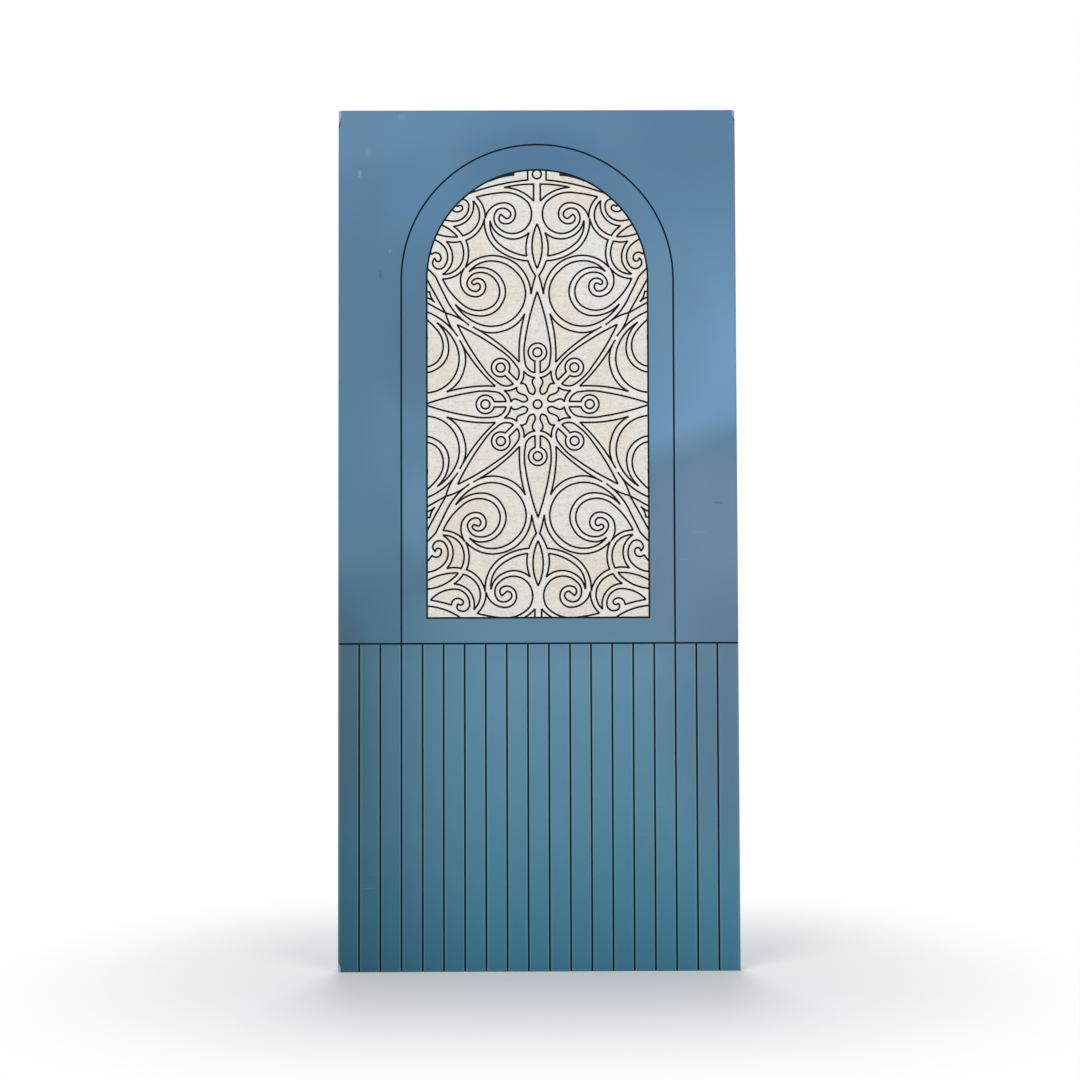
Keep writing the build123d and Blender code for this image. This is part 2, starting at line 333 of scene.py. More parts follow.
@dataclass(frozen=True)
class Patch(Spot):
    """A soft spot of colour on the face."""

    colour: Colour
    strength: float

    def over(self, graph: Graph, colour: Wire, x: Wire, z: Wire) -> Wire:
        """Lay the patch over a colour, for a place x along the width and z along the height."""
        return graph.blend(colour, self.colour, self.away(x, z).rise(1.0, 0.0) * self.strength)


# The corners of the front skin that a knock broke off. The broken edge is about 1 away from each,
# and the board behind it is bared within the first reach and hidden beyond the second.
CHIPS = (
    Spot(0.0, LEAF.height, 0.0065, 0.036),
    Spot(LEAF.width, LEAF.height, 0.007, 0.023),
    Spot(0.0, 0.0, 0.006, 0.024),
)
BARED_REACH, HIDDEN_REACH = 1.3, 1.6


def near_chips(x: Wire, z: Wire, far: float = HIDDEN_REACH, near: float = BARED_REACH) -> Wire:
    """A mask that is 0 far from the chips and 1 near one of them."""
    masks = [chip.away(x, z).rise(far, near) for chip in CHIPS]
    return masks[0].most(masks[1]).most(masks[2])


@dataclass(frozen=True)
class BlueLaminate(Finish):
    """The satin blue skin: its tone over the leaf's height with painted light, shade and reflection, its
    painted spots of light and shade, and its dark cut edges.
    """

    name: str = "blue laminate"
    # Painted light and reflection: the blue's tone up the height, darker teal at the foot and greyer blue
    # higher up.
    painted_light_tones: tuple[tuple[float, Colour], ...] = (
        (0.0, srgb(49, 111, 135)),
        (0.07, srgb(61, 121, 145)),
        (0.20, srgb(80, 131, 154)),
        (0.35, srgb(91, 137, 161)),
        (0.44, srgb(79, 119, 144)),
        (0.63, srgb(79, 120, 148)),
        (0.80, srgb(74, 114, 144)),
        (1.0, srgb(85, 126, 158)),
    )
    # Painted shade: a darker teal over the lower left of the face.
    shade: Colour = srgb(8, 60, 76)
    shade_reach: Span = (0.42, -0.10)
    shade_top: Span = (1.04, 0.74)
    shade_strength: float = 0.66
    # Painted light: a paler glow on the right side, above the middle of the leaf.
    glow: Colour = srgb(104, 147, 183)
    glow_reach: Span = (0.52, 0.86)
    glow_foot: Span = (0.865, 0.965)
    glow_slope: float = 0.4
    glow_head: Span = (1.98, 1.45)
    # Painted light and shade: soft lighter and darker spots where the light falls unevenly over the face.
    light_and_shade_patches: tuple[Patch, ...] = (
        Patch(0.97, 0.98, 0.44, 0.36, srgb(101, 130, 155), 0.9),
        Patch(0.475, 0.83, 0.36, 0.12, srgb(92, 133, 157), 0.7),
        Patch(0.06, 2.04, 0.34, 0.17, srgb(92, 133, 165), 0.7),
        Patch(0.47, 1.93, 0.22, 0.10, srgb(71, 111, 144), 0.6),
        Patch(0.17, 1.28, 0.13, 0.22, srgb(86, 128, 156), 0.7),
        Patch(0.20, 1.84, 0.13, 0.16, srgb(82, 126, 161), 0.6),
        Patch(0.96, 0.60, 0.24, 0.42, srgb(78, 108, 130), 0.6),
        Patch(0.18, 1.46, 0.11, 0.17, srgb(74, 109, 135), 0.65),
        Patch(0.19, 1.08, 0.06, 0.14, srgb(106, 148, 178), 0.36),
        Patch(0.90, 2.03, 0.30, 0.16, srgb(80, 113, 147), 0.5),
        Patch(0.80, 1.55, 0.12, 0.28, srgb(94, 132, 160), 0.55),
        Patch(0.02, 0.62, 0.07, 0.30, srgb(60, 88, 110), 0.5),
    )
    scuffs: tuple[Patch, ...] = (
        Patch(0.051, 1.898, 0.006, 0.012, srgb(132, 166, 194), 0.45),
        Patch(0.072, 1.950, 0.010, 0.020, srgb(120, 156, 184), 0.25),
        Patch(0.152, 2.034, 0.012, 0.010, srgb(124, 160, 188), 0.30),
        Patch(0.123, 1.711, 0.004, 0.006, srgb(124, 158, 184), 0.40),
        Patch(0.860, 1.036, 0.020, 0.002, srgb(134, 166, 192), 0.40),
        Patch(0.823, 0.972, 0.018, 0.002, srgb(128, 160, 186), 0.30),
        Patch(0.101, 1.653, 0.005, 0.016, srgb(44, 74, 98), 0.5),
        Patch(0.905, 1.106, 0.014, 0.004, srgb(60, 88, 112), 0.5),
    )
    cut_edge: Colour = srgb(7, 28, 42)
    edge_band: Colour = srgb(84, 118, 140)
    bare_board: Colour = srgb(188, 196, 200)
    outside_reach: float = 0.8 * MILLIMETRE
    rim: Colour = srgb(112, 112, 106)
    rim_reach: Span = (0.0050, 0.0005)
    rim_strength: float = 0.32
    # Painted shadow: a dark blue ring round each chip, where the broken skin casts its shade.
    painted_chip_shadow: Colour = srgb(30, 56, 78)
    painted_chip_shadow_reach: Span = (1.75, 1.2)
    painted_chip_shadow_strength: float = 0.8
    # Painted highlight: a paler strip along each side of the joints between the planks.
    joint_highlight_reach: Span = (0.0075, 0.0030)
    joint_highlight_strength: float = 0.16
    # A pale scuff colour, which also serves as the painted highlight beside the joints.
    scuff_and_highlight: Colour = srgb(132, 160, 182)

    def tone(self, graph: Graph, x: Wire, z: Wire) -> Wire:
        """The tone of the skin before its wear, with its light, shade and reflection painted in.

        Args:
            graph: The graph of the finish.
            x: The place along the leaf's width.
            z: The place along its height.

        Returns:
            The colour: painted light to the right above, painted shade to the left below.
        """
        tone = graph.out("ShaderNodeValToRGB", {"stops": self.painted_light_tones}, {0: z / LEAF.height})
        # Painted shade over the lower left.
        shaded = x.rise(*self.shade_reach) * z.rise(*self.shade_top)
        tone = graph.blend(tone, self.shade, shaded * self.shade_strength)
        # Painted light: the paler glow on the right side.
        above_foot = (z - self.glow_slope * x).rise(*self.glow_foot)
        lit = x.rise(*self.glow_reach) * above_foot * z.rise(*self.glow_head)
        tone = graph.blend(tone, self.glow, lit)
        # Lay the painted spots of light and shade.
        for patch in self.light_and_shade_patches:
            tone = patch.over(graph, tone, x, z)
        return tone

    def write(self, graph: Graph) -> None:
        """Write the tone, then the scuffs and the painted shadow round the chips on the front, the
        scratches, the painted highlights beside the joints, and the rims and cut edges.

        Args:
            graph: The graph of the finish.
        """
        x, y, z = graph.split(graph.place())
        front = y.rise(0.0, LEAF.front / 2)
        plain = self.tone(graph, x, z)
        tone = plain
        for patch in self.scuffs:
            tone = patch.over(graph, tone, x, z)
        # Painted shadow round the chips, on the front only.
        chip_shadowed = near_chips(x, z, *self.painted_chip_shadow_reach) * self.painted_chip_shadow_strength
        tone = graph.blend(plain, graph.blend(tone, self.painted_chip_shadow, chip_shadowed), front)
        clouds = graph.noise((5.0, 5.0, 3.5), detail=3.0, shift=3.1)
        tone = graph.blend(tone, self.scuff_and_highlight, clouds.rise(0.5, 0.85) * 0.10)
        tone = graph.blend(tone, self.cut_edge, clouds.rise(0.5, 0.15) * 0.07)
        speckle = graph.noise((900.0, 900.0, 900.0), detail=1.0)
        tone = graph.blend(tone, self.scuff_and_highlight, speckle.rise(0.52, 0.8) * 0.08)
        scratches = graph.noise((14.0, 14.0, 420.0), detail=2.0, shift=7.7, warp=0.6).rise(0.70, 0.78)
        worn = graph.noise((2.2, 2.2, 2.2), detail=1.0, shift=5.2).rise(0.55, 0.72)
        tone = graph.blend(tone, self.scuff_and_highlight, scratches * worn * 0.30)

        # Painted highlight: the pale strip along each side of the plank joints.
        to_joint = graph.math("PINGPONG", x, LEAF.plank_pitch / 2)
        on_planks = z.rise(LEAF.plank_top + LEAF.joint, LEAF.plank_top)
        painted_joint_highlight = to_joint.rise(*self.joint_highlight_reach) * on_planks
        tone = graph.blend(tone, self.scuff_and_highlight, painted_joint_highlight * self.joint_highlight_strength)
        to_edge = x.least(LEAF.width - x).least(z).least(LEAF.height - z)
        tone = graph.blend(tone, self.rim, to_edge.rise(*self.rim_reach) * self.rim_strength)
        normal = graph.out("ShaderNodeTexCoord", output="Normal")
        wall = abs(graph.split(normal)[1]).rise(0.92, 0.6)
        at_joint = wall * to_edge.rise(0.0, self.outside_reach)
        tone = graph.blend(tone, self.cut_edge, at_joint)
        tone = graph.blend(tone, self.edge_band, wall * to_edge.rise(self.outside_reach, 0.0))
        tone = graph.blend(tone, self.bare_board, at_joint * near_chips(x, z) * front)

        roughness = 0.38 + 0.10 * clouds + 0.05 * speckle + 0.3 * at_joint
        graph.surface(tone, roughness, speckle, 0.03 * MILLIMETRE, 0.3)


@dataclass(frozen=True)
class PaleLaminate(Finish):
    """The pale birch skin of the inlay, with soft beige and cool patches and a fine grain."""

    ground: Colour
    warm: Colour
    cool: Colour
    grain: Colour

    def write(self, graph: Graph) -> None:
        """Write the beige and cool patches, and the streaks and flecks of the grain.

        Args:
            graph: The graph of the finish.
        """
        warm = graph.noise((7.0, 7.0, 5.0), detail=2.0, shift=1.3).rise(0.42, 0.68)
        cool = graph.noise((6.0, 6.0, 6.0), detail=2.0, shift=8.9).rise(0.45, 0.70)
        tone = graph.blend(self.ground, self.warm, warm * 0.8)
        tone = graph.blend(tone, self.cool, cool * 0.8)
        streaks = graph.noise((24.0, 24.0, 150.0), detail=4.0, shift=2.4, warp=1.1)
        fleck = graph.noise((180.0, 180.0, 240.0), detail=3.0, shift=4.6)
        tone = graph.blend(tone, self.grain, streaks.rise(0.46, 0.72) * 0.5)
        tone = graph.blend(tone, self.grain, fleck.rise(0.46, 0.68) * 0.5)
        graph.surface(tone, 0.42 + 0.16 * streaks, streaks + fleck, 0.05 * MILLIMETRE, 0.4)


@dataclass(frozen=True)
class PlainBoard(Finish):
    """A plain finish with a little unevenness, for edges and boards."""

    colour: Colour
    worn: Colour
    roughness: float

    def place_tone(self, graph: Graph, tone: Wire) -> Wire:
        """Change the tone by the place on the leaf, which a plain board doesn't."""
        return tone

    def write(self, graph: Graph) -> None:
        """Write the mottled tone.

        Args:
            graph: The graph of the finish.
        """
        mottle = graph.noise((60.0, 60.0, 60.0), detail=3.0, shift=6.1)
        tone = graph.blend(self.colour, self.worn, mottle.rise(0.4, 0.75) * 0.6)
        tone = self.place_tone(graph, tone)
        graph.surface(tone, self.roughness + 0.1 * mottle, mottle, 0.1 * MILLIMETRE, 0.3)


@dataclass(frozen=True)
class BackerBoard(PlainBoard):
    """The board behind the skins: navy in the joints, charred under the inlay, bare in the chips."""

    charred: Colour = srgb(20, 16, 12)
    bared: Colour = srgb(150, 174, 196)

    def place_tone(self, graph: Graph, tone: Wire) -> Wire:
        """Change the tone under the inlay and in the chips.

        Args:
            graph: The graph of the finish.
            tone: The tone of the rest.

        Returns:
            The tone of the whole board.
        """
        x, y, z = graph.split(graph.place())
        beside, above = x - LEAF.width / 2, (z - LEAF.spring_height).most(0.0)
        out = (beside ** 2.0 + above ** 2.0) ** 0.5
        radius, foot = LEAF.panel_half_width, LEAF.panel_low.z
        under_inlay = out.rise(radius, radius - MILLIMETRE) * z.rise(foot, foot + MILLIMETRE)
        tone = graph.blend(tone, self.charred, under_inlay)
        return graph.blend(tone, self.bared, near_chips(x, z) * y.rise(0.0, LEAF.front / 2))


@dataclass(frozen=True)
class BlockBoard(Finish):
    """The unfinished core: strips of softwood side by side."""

    name: str = "blockboard core"
    light: Colour = srgb(205, 172, 128)
    dark: Colour = srgb(160, 118, 74)

    def write(self, graph: Graph) -> None:
        """Write the strips and their grain.

        Args:
            graph: The graph of the finish.
        """
        strips = graph.noise((40.0, 1.0, 1.5), detail=1.0)
        grain = graph.noise((260.0, 260.0, 6.0), detail=3.0, warp=0.8)
        tone = graph.blend(self.light, self.dark, strips.rise(0.3, 0.7) * 0.4 + grain.rise(0.4, 0.7) * 0.4)
        graph.surface(tone, 0.7, grain, 0.1 * MILLIMETRE, 0.2)


@dataclass(frozen=True)
class PaleFloor(Finish):
    """A pale floor that turns white away from the leaf and keeps the leaf's shadow."""

    name: str = "pale floor"
    pale: Colour = srgb(244, 244, 244)
    shadow_reach: Span = (0.10, 0.9)

    def write(self, graph: Graph) -> None:
        """Write the matt floor, and the white that it turns into for the eye.

        Args:
            graph: The graph of the finish.
        """
        x, y, _ = graph.split(graph.place())
        beside = (abs(x - LEAF.width / 2) - LEAF.width / 2).most(0.0)
        away = (beside ** 2.0 + y ** 2.0) ** 0.5
        white = away.rise(*self.shadow_reach) * graph.seen_directly()
        matt = graph.out("ShaderNodeBsdfDiffuse", sockets={"Color": self.pale})
        glow = graph.out("ShaderNodeEmission", sockets={"Color": WHITE, "Strength": 1.0})
        both = graph.out("ShaderNodeMixShader", sockets={0: white, 1: matt, 2: glow})
        graph.node("ShaderNodeOutputMaterial", sockets={"Surface": both})


class Layout(Enum):
    """How a tile is repeated about the rosette's centre: its eighth turns, and if it is mirrored."""

    ONCE = ((0,), False)
    PAIR = ((0,), True)
    UP_AND_DOWN = ((0, 4), False)
    QUARTERS = ((0, 2, 4, 6), False)
    EIGHTHS = (tuple(range(8)), False)
    ALL_ROUND = ((0, 2, 4, 6), True)
    ABOVE_AND_BELOW = ((0, 4), True)
    AT_THE_SIDES = ((2, 6), True)

    def copies(self, ring: Ring) -> list[Ring]:
        """Repeat a ring.

        Args:
            ring: The ring of one tile, about the rosette's centre.

        Returns:
            The rings of all its copies.
        """
        eighths, both_sides = self.value
        rings = (ring, mirrored(ring)) if both_sides else (ring,)
        return [turned(one, eighth) for eighth in eighths for one in rings]


def mirrored(line: Line) -> Line:
    """The line on the other side of the upright axis, drawn the other way."""
    return [-point.conjugate() for point in reversed(line)]


def turned(line: Line, eighths: float) -> Line:
    """The line turned clockwise about the rosette's centre."""
    return [point * exp(-1j * pi / 4 * eighths) for point in line]


@dataclass(frozen=True)
class Pen:
    """Draws the round lines of the ornament on its squares, as fine straight runs."""

    square: float
    tolerance: float = 0.05 * MILLIMETRE
    least_turn: float = radians(9)
    corner_reach: float = 45 * MILLIMETRE
    longest_point: float = 3 * MILLIMETRE
    least_step: float = 0.02 * MILLIMETRE

    def arc(self, start: complex, through: complex, end: complex) -> Line:
        """Cut an arc through three points into straight runs.

        Args:
            start: Where the arc starts.
            through: A point on it.
            end: Where it ends.

        Returns:
            Its points without the start.
        """
        ratio = (end - start) / (through - start)
        if abs(ratio.imag) < 1e-6:
            return [end]
        centre = start - (start - through) * (ratio - abs(ratio) ** 2) / (2j * ratio.imag)
        spoke = start - centre
        turn = phase((through - centre) / spoke) + phase((end - centre) / (through - centre))
        run_turn = min(self.least_turn, 2 * acos(1 - self.tolerance / abs(spoke)))
        runs = max(1, round(abs(turn) / run_turn))
        return [centre + spoke * exp(1j * turn * run / runs) for run in range(1, runs + 1)]

    def stretch(self, *places: Place) -> Line:
        """Draw a straight run between two places, or arcs through each three of them in turn.

        Args:
            places: The places on the squares.

        Returns:
            The line.
        """
        points = [complex(x, z) * self.square for x, z in places]
        if len(points) == 2:
            return points
        line = points[:1]
        for index in range(0, len(points) - 2, 2):
            line += self.arc(*points[index : index + 3])
        return line

    def beside(self, line: Line, distance: float) -> Line:
        """Move a line to its left.

        Args:
            line: The line.
            distance: How far it moves.

        Returns:
            The moved line, with as many points.
        """
        headings = [(after - before) / abs(after - before) for before, after in zip(line, line[1:])]
        moved = [line[0] + 1j * headings[0] * distance]
        for point, into, out in zip(line[1:], headings, headings[1:]):
            moved.append(point + 1j * (into + out) / (1 + (into.conjugate() * out).real) * distance)
        return moved + [line[-1] + 1j * headings[-1] * distance]

    def corner(self, before: Line, after: Line, point: complex) -> tuple[Line, Line]:
        """Join one moved line to the next.

        Args:
            before: The line that ends at the corner.
            after: The line that starts there.
            point: The corner before the lines were moved.

        Returns:
            Both lines, cut at their crossing or run on to a corner point.
        """
        nearest = None
        for last in range(1, len(before)):
            for first in range(1, len(after)):
                hit, along, across = meeting(before[last - 1], before[last], after[first - 1], after[first])
                if 0 <= along <= 1 and 0 <= across <= 1 and abs(hit - point) < self.corner_reach:
                    if nearest is None or abs(hit - point) < nearest[0]:
                        nearest = (abs(hit - point), last, first, hit)
        if nearest:
            _, last, first, hit = nearest
            return before[:last] + [hit], [hit] + after[first:]
        hit, along, across = meeting(before[-2], before[-1], after[0], after[1])
        if along > 1 and across < 0 and abs(hit - point) < self.longest_point:
            return before + [hit], [hit] + after
        return before, after

    def moved(self, loop: Sequence[Line], distance: float) -> Ring:
        """Move the lines round a tile outwards, or inwards if the distance is negative.

        Args:
            loop: The lines round the tile.
            distance: How far they move.

        Returns:
            The closed ring.
        """
        points = [point for line in loop for point in line]
        side = -distance if ring_area(points) > 0 else distance
        if len(loop) == 1:
            line = loop[0]
            lines = [self.beside(line[-2:-1] + line + line[1:2], side)[1:-1]]
        else:
            lines = [self.beside(line, side) for line in loop]
            for index in range(len(loop)):
                lines[index - 1], lines[index] = self.corner(lines[index - 1], lines[index], loop[index][0])
        placed = [point for line in lines for point in line]
        before = placed[-1:] + placed
        return [point for point, last in zip(placed, before) if abs(point - last) > self.least_step]


def meeting(a: complex, b: complex, c: complex, d: complex) -> tuple[complex, float, float]:
    """Find where two straight runs meet.

    Args:
        a: The start of the first run.
        b: Its end.
        c: The start of the second run.
        d: Its end.

    Returns:
        The meeting point, and how far along each run it is, from 0 to 1.
    """
    first, second = b - a, d - c
    cross = (first.conjugate() * second).imag
    if abs(cross) < 1e-15:
        return a, -1.0, -1.0
    along = ((c - a).conjugate() * second).imag / cross
    across = ((c - a).conjugate() * first).imag / cross
    return a + first * along, along, across


def ring_area(ring: Ring) -> float:
    """The area inside a ring, negative if the ring runs clockwise."""
    return sum((a.conjugate() * b).imag for a, b in zip(ring, ring[1:] + ring[:1])) / 2


@dataclass
class Ornament:
    """The drawing of the inlay: its tiles, by places on squares beside and above the rosette's centre."""

    square_count: float = 264.0
    centre_disc_radius: float = 10.3 * MILLIMETRE
    ring_disc_radius: float = 10.7 * MILLIMETRE
    ring_radius: float = 22.0 * MILLIMETRE
    ring_distance: float = 124.4 * MILLIMETRE
    stem_half_width: float = 6.4 * MILLIMETRE
    head_disc_distance: float = 552.8 * MILLIMETRE
    comma_back: float = 258
    comma_back_at_edge: float = 266
    pen: Pen = field(init=False)

    def __post_init__(self) -> None:
        """Fit the squares to the inlay."""
        self.pen = Pen(LEAF.inlay_radius / self.square_count)

    def loop(self, *stretches: Sequence[Place]) -> Loop:
        """The lines round a tile: each stretch of places starts where the one before it ends."""
        starts = [stretches[-1][-1]] + [stretch[-1] for stretch in stretches[:-1]]
        return [self.pen.stretch(start, *stretch) for start, stretch in zip(starts, stretches)]

    def disc(self, radius: float, distance: float = 0.0) -> Loop:
        """A round tile above the rosette's centre."""
        side, height = radius / self.pen.square, distance / self.pen.square
        return self.loop([(0, height + side), (-side, height), (0, height - side), (side, height)])

    def spearhead(self) -> Loop:
        """Draw a long pointed tile with a keyhole for the ring and its stem.

        Returns:
            The lines of its right side and the left one, and of the keyhole.
        """
        square, stretch = self.pen.square, self.pen.stretch
        foot = (self.stem_half_width / square, 75.5)
        neck_drop = sqrt(self.ring_radius**2 - self.stem_half_width**2)
        neck = (foot[0], (self.ring_distance - neck_drop) / square)
        ring_top = (0, (self.ring_distance + self.ring_radius) / square)
        ring_side = (self.ring_radius / square, self.ring_distance / square)
        side = stretch(foot, (22, 84), (30, 103), (32, 127), (29, 155), (20, 202), (0, 270))
        ring = stretch(ring_top, ring_side, neck)
        stem = stretch(neck, foot)
        return [side, mirrored(side), mirrored(stem), mirrored(ring), ring, stem]

    def hub_tile(self) -> Loop:
        """A tile between two spearheads at the heart of the rosette."""
        stretch = self.pen.stretch
        head = stretch((0, 86), (-9, 69), (-19, 61))
        side = stretch((-19, 61), (-10.5, 57), (-8, 49), (-8, 44), (-8.5, 39), (-6.5, 31), (0, 26))
        return [turned(line, 0.5) for line in (head, side, mirrored(side), mirrored(head))]

    def star_tile(self) -> Loop:
        """The three-cornered tile between an upright and a diagonal spearhead."""
        rim = [(51, 191), (84, 175), (118, 172), (154, 186)]
        return self.loop([(43, 147), (30, 217)], rim, [(98, 150), (43.5, 101)])

    def scroll_crescent(self) -> Loop:
        """The crescent that the large scroll turns in."""
        outside = [(138, 338), (109, 344), (79, 338), (53, 320), (34, 294), (28, 264)]
        outside += [(39, 227), (70, 197), (107, 187), (143, 194), (173, 213), (196, 240)]
        inside = [(170, 220), (138, 212), (106, 219), (84, 242), (76, 268)]
        inside += [(84, 298), (103, 319), (130, 328), (147, 327), (163, 318)]
        return self.loop(outside, inside)

    def scroll_comma(self, back: float) -> Loop:
        """The comma of the large scroll, which ends in a hook.

        Args:
            back: How far from the rosette's centre its inner line bends round the hook.

        Returns:
            The lines round it.
        """
        scroll = [(204, 265), (175, 237), (141, 225), (106, 236), (90, 267), (99, 297), (118, 313)]
        scroll += [(141, 316), (161, 306), (168, 289), (161, 276), (148, 271), (138, 276), (137, 286)]
        scroll += [(141, 290), (148, 288), (155, 289), (154, 297), (140, 302), (125, 291), (127, 269)]
        scroll += [(148, back), (170, 266), (182, 285), (183, 304), (174, 327)]
        return self.loop(scroll, [(196, 308), (226, 301)])

    def field_tile(self) -> Loop:
        """The tile between the large scroll and the small one."""
        return self.loop(
            [(24, 303), (51, 338), (81, 353), (112, 357), (144, 349), (172, 328)],
            [(164, 362), (170, 394)],
            [(144, 411), (126, 446)],
            [(119, 404), (96, 372), (63, 353), (22, 344)],
            [(14, 325), (4, 308)],
            [(11, 284), (15, 264)],
        )

    def strip_tile(self) -> Loop:
        """The strip that crosses its neighbour beyond a diagonal spearhead."""
        along = [(196, 220), (221, 261), (233, 285), (243, 306)]
        back = [(243, 262), (219, 219)]
        return self.loop(along, [(253, 317), (270, 333)], [(270, 312)], back, [(193, 210), (163, 190)])

    def diagonal_tile(self) -> Loop:
        """The small tile whose point lies on the diagonal, at the inlay's edge."""
        stretch = self.pen.stretch
        side = stretch((245, 245), (252, 254), (257, 270))
        other = [complex(point.imag, point.real) for point in reversed(side)]
        return [side, stretch((257, 270), (270, 270)), stretch((270, 270), (270, 257)), other]

    def palmette_crescent(self) -> Loop:
        """The crescent under the small scroll, beside the leaf."""
        outside = [(63, 367), (94, 388), (109, 412), (112, 441)]
        return self.loop([(26, 385), (25, 356)], outside, [(102, 418), (83, 403), (51, 397), (19, 412)])

    def palmette_scroll(self) -> Loop:
        """The comma of the small scroll, which ends in a hook."""
        scroll = [(114, 505), (81, 509), (45, 502), (21, 484), (13, 456), (26, 424), (62, 410), (91, 423)]
        scroll += [(103, 448), (95, 467), (80, 471), (66, 464), (65, 450), (74, 446), (80, 451), (86, 456)]
        scroll += [(91, 448), (83, 435), (66, 435), (52, 453), (58, 475), (80, 484), (106, 475), (124, 447)]
        return self.loop(scroll, [(127, 470), (145, 498)])

    def palmette_wedge(self) -> Loop:
        """The three-cornered tile over the small scroll."""
        return self.loop([(45, 527), (79, 521)], [(40, 512), (8, 488)], [(8, 529)])

    def leaf_tile(self) -> Loop:
        """The pointed leaf on the upright axis."""
        side = self.pen.stretch((0, 326), (12, 374), (0, 433))
        return [side, mirrored(side)]

    def corner_crescent(self) -> Loop:
        """The crescent that backs the corner scroll."""
        outside = [(139, 466), (139, 442), (152, 420), (178, 405)]
        return self.loop(outside, [(188, 418), (200, 428)], [(163, 446), (153, 489)])

    def corner_scroll(self) -> Loop:
        """The comma of the corner scroll."""
        scroll = [(230, 447), (200, 440), (173, 451), (163, 475), (170, 490), (184, 492)]
        scroll += [(193, 484), (190, 475)]
        hook = [(181, 477), (181, 466), (196, 463), (206, 478)]
        return self.loop(scroll, hook, [(231, 471), (256, 466)])

    def corner_leaf(self) -> Loop:
        """The leaf that runs out of the corner at the inlay's side."""
        return self.loop([(220, 427), (270, 440)], [(270, 424)], [(230, 406), (190, 402)])

    def side_crescent(self) -> Loop:
        """The crescent that backs the scroll at the inlay's side."""
        outside = [(203, 363), (204, 339), (211, 326), (226, 312)]
        inside = [(196, 321), (178, 347), (176, 368), (183, 391)]
        return self.loop([(200, 389), (217, 391)], outside, inside)

    def side_scroll(self) -> Loop:
        """The comma of the scroll at the inlay's side, cut off by the edge."""
        scroll = [(240, 393), (221, 377), (214, 353), (222, 331), (236, 325), (247, 331)]
        scroll += [(250, 342), (244, 351)]
        hook = [(236, 343), (230, 350), (237, 363), (252, 360)]
        return self.loop(scroll, hook, [(259, 369), (270, 379)], [(270, 400)])

    def corner_field(self) -> Loop:
        """The tile in the inlay's square corner, beyond the corner scroll."""
        return self.loop([(222, 489), (272, 480)], [(272, 520)], [(172, 520)], [(188, 506)])

    def head_tile(self) -> Loop:
        """The slim tile under the head of the arch."""
        foot = [(95, 527), (162, 507)]
        head = [(83, 547), (56, 551)]
        return self.loop(foot, [(170, 525)], [(112, 537)], head, [(56, 575)], [(22, 575)], [(22, 539)])

    def tiles(self) -> dict[str, list[tuple[Layout, Loop]]]:
        """Draw every tile.

        Returns:
            The tiles of each node, each with how it is repeated.
        """
        ring_disc = self.disc(self.ring_disc_radius, self.ring_distance)
        head_disc = self.disc(self.ring_disc_radius, self.head_disc_distance)
        scrolls = [self.scroll_crescent(), self.field_tile(), self.strip_tile()]
        palmettes = [self.palmette_crescent(), self.palmette_scroll(), self.palmette_wedge()]
        corners = [self.corner_crescent(), self.corner_scroll(), self.corner_leaf()]
        corners += [self.side_crescent(), self.side_scroll(), self.corner_field()]
        all_round = Layout.ALL_ROUND
        return {
            "rosette_centre_disc": [(Layout.ONCE, self.disc(self.centre_disc_radius))],
            "rosette_hub_tiles": [(Layout.EIGHTHS, self.hub_tile())],
            "rosette_ring_discs": [(Layout.EIGHTHS, ring_disc)],
            "rosette_spearheads": [(Layout.EIGHTHS, self.spearhead())],
            "rosette_star_tiles": [(all_round, self.star_tile())],
            "large_scroll_tiles": [
                (Layout.QUARTERS, self.diagonal_tile()),
                (Layout.ABOVE_AND_BELOW, self.scroll_comma(self.comma_back)),
                (Layout.AT_THE_SIDES, self.scroll_comma(self.comma_back_at_edge)),
                *[(all_round, tile) for tile in scrolls],
            ],
            "axis_leaf_tiles": [(Layout.UP_AND_DOWN, self.leaf_tile())],
            "palmette_tiles": [
                (Layout.ONCE, head_disc),
                (Layout.PAIR, self.head_tile()),
                *[(all_round, tile) for tile in palmettes],
            ],
            "corner_scroll_tiles": [(all_round, tile) for tile in corners],
        }


@dataclass
class Flat:
    """A flat piece, as triangles over its points, counter-clockwise as seen from the front."""

    points: list[complex]
    triangles: list[tuple[int, int, int]]

    def area(self) -> float:
        """The area of the piece."""
        return sum(abs(ring_area([self.points[corner] for corner in one])) for one in self.triangles)

    def rim(self) -> list[tuple[int, int]]:
        """The edges round the piece and its holes, with the piece on their left."""
        edges = {(one[k], one[(k + 1) % 3]) for one in self.triangles for k in range(3)}
        return [(a, b) for a, b in edges if (b, a) not in edges]


